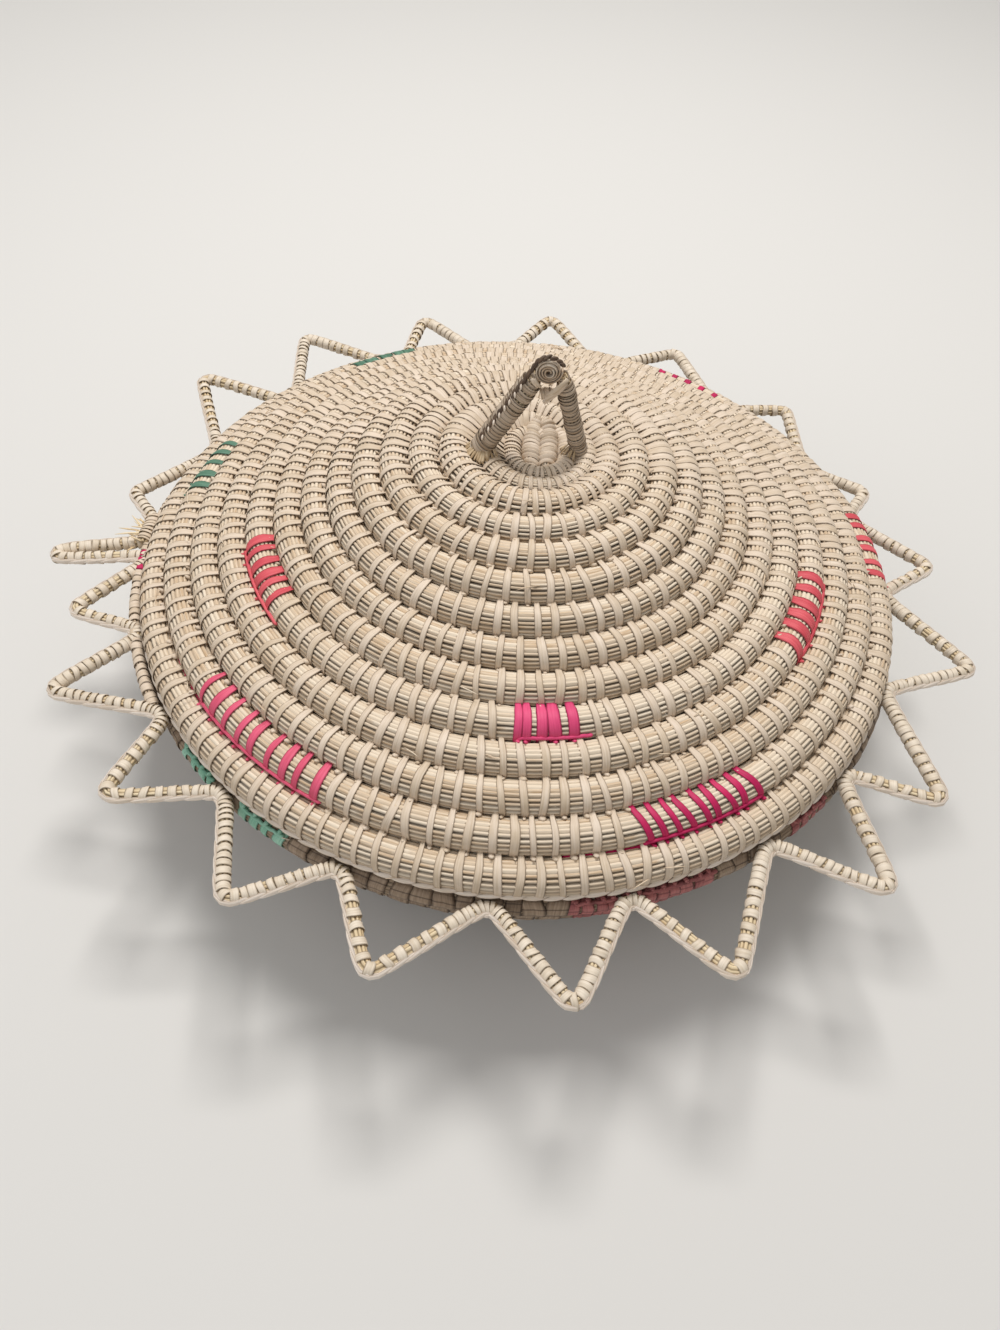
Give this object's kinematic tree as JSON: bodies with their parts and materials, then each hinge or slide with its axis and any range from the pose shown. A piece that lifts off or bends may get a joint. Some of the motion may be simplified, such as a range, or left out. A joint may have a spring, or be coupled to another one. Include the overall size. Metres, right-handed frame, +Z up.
{
  "type": "lidded coiled basket",
  "caption": "Round coiled grass basket with a lift-off domed lid, an A-shaped wrapped handle on the crown and a wrapped cord that zigzags round the rim.",
  "frame": {"origin": "on the basket's axis, on the surface that it stands on", "axes": "+Z up along the lid's lift, -Y towards the viewer of the front, +X to the viewer's right"},
  "size_m": [0.3753, 0.3762, 0.1733],
  "materials": {
    "natural_coil": "dry cream and straw coloured grass stems sewn with pale palm strips, matt",
    "natural_cord": "pale palm strips wrapped round a core of stems, matt",
    "plaited_edge": "narrow pale palm strips worked in a chain, matt",
    "hidden_ring": "unbleached grass cord, matt",
    "hot_pink": "palm strip dyed hot pink, matt",
    "magenta": "palm strip dyed magenta, matt",
    "coral": "palm strip dyed coral, matt",
    "dusty_pink": "palm strip dyed dusty pink, matt",
    "sea_green": "palm strip dyed sea green, matt",
    "mint": "palm strip dyed pale mint, matt"
  },
  "bodies": {
    "base": {"base_coil": "natural_coil", "border_zigzag": "natural_cord", "base_strips_mint_front_left": "mint", "base_strips_mint_front": "mint", "base_strips_dusty_pink_front": "dusty_pink", "base_strips_pink_front_right": "dusty_pink"},
    "lid": {"lid_coil": "natural_coil", "lid_edge_braid": "plaited_edge", "lid_locating_ring": "hidden_ring", "handle_left_leg": "natural_cord", "handle_right_leg": "natural_cord", "handle_crown_roll": "natural_cord", "handle_edging": "plaited_edge", "handle_tail": "natural_cord", "left_foot_stitches": "plaited_edge", "right_foot_stitches": "plaited_edge", "lid_strips_hot_pink_front": "hot_pink", "lid_strips_magenta_front_right": "magenta", "lid_strips_pink_front_left": "hot_pink", "lid_strips_coral_left": "coral", "lid_strips_coral_right": "coral", "lid_strips_pink_right_edge": "dusty_pink", "lid_strips_magenta_back_right": "magenta", "lid_strips_green_back_left": "sea_green", "lid_strips_green_left": "sea_green"}
  },
  "joints": [
    {"name": "lid_lift", "type": "slide", "parent": "base", "child": "lid", "axis": [0, 0, 1], "range_m": [0, 0.15]}
  ]
}
